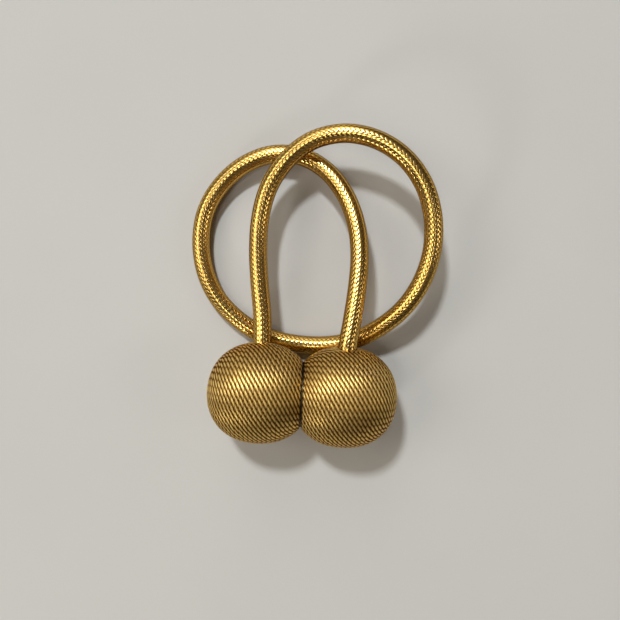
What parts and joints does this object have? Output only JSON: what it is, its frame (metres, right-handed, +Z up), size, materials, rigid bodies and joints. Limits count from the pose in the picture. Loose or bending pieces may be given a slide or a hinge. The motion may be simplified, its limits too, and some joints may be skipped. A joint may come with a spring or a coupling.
{
  "type": "magnetic curtain tieback",
  "caption": "Cord-wound magnetic balls held face to face and joined by a braided rope that lies in crossing loops, for gathering a curtain.",
  "frame": {"origin": "on the surface that the tieback rests on, below the middle of the two mating faces of the balls", "axes": "+X along the balls' common axis, towards the ball on the right when the loops point away; +Y from the balls towards the rope's loops; +Z up from the surface"},
  "size_m": [0.0891, 0.1115, 0.0345],
  "materials": {
    "wound_cord": "olive-gold metallic twisted cord, wound in close parallel turns",
    "braided_rope": "glossy warm gold yarn, braided round"
  },
  "bodies": {
    "root": {"ball_left": "wound_cord", "ball_right": "wound_cord", "rope": "braided_rope"}
  },
  "joints": []
}
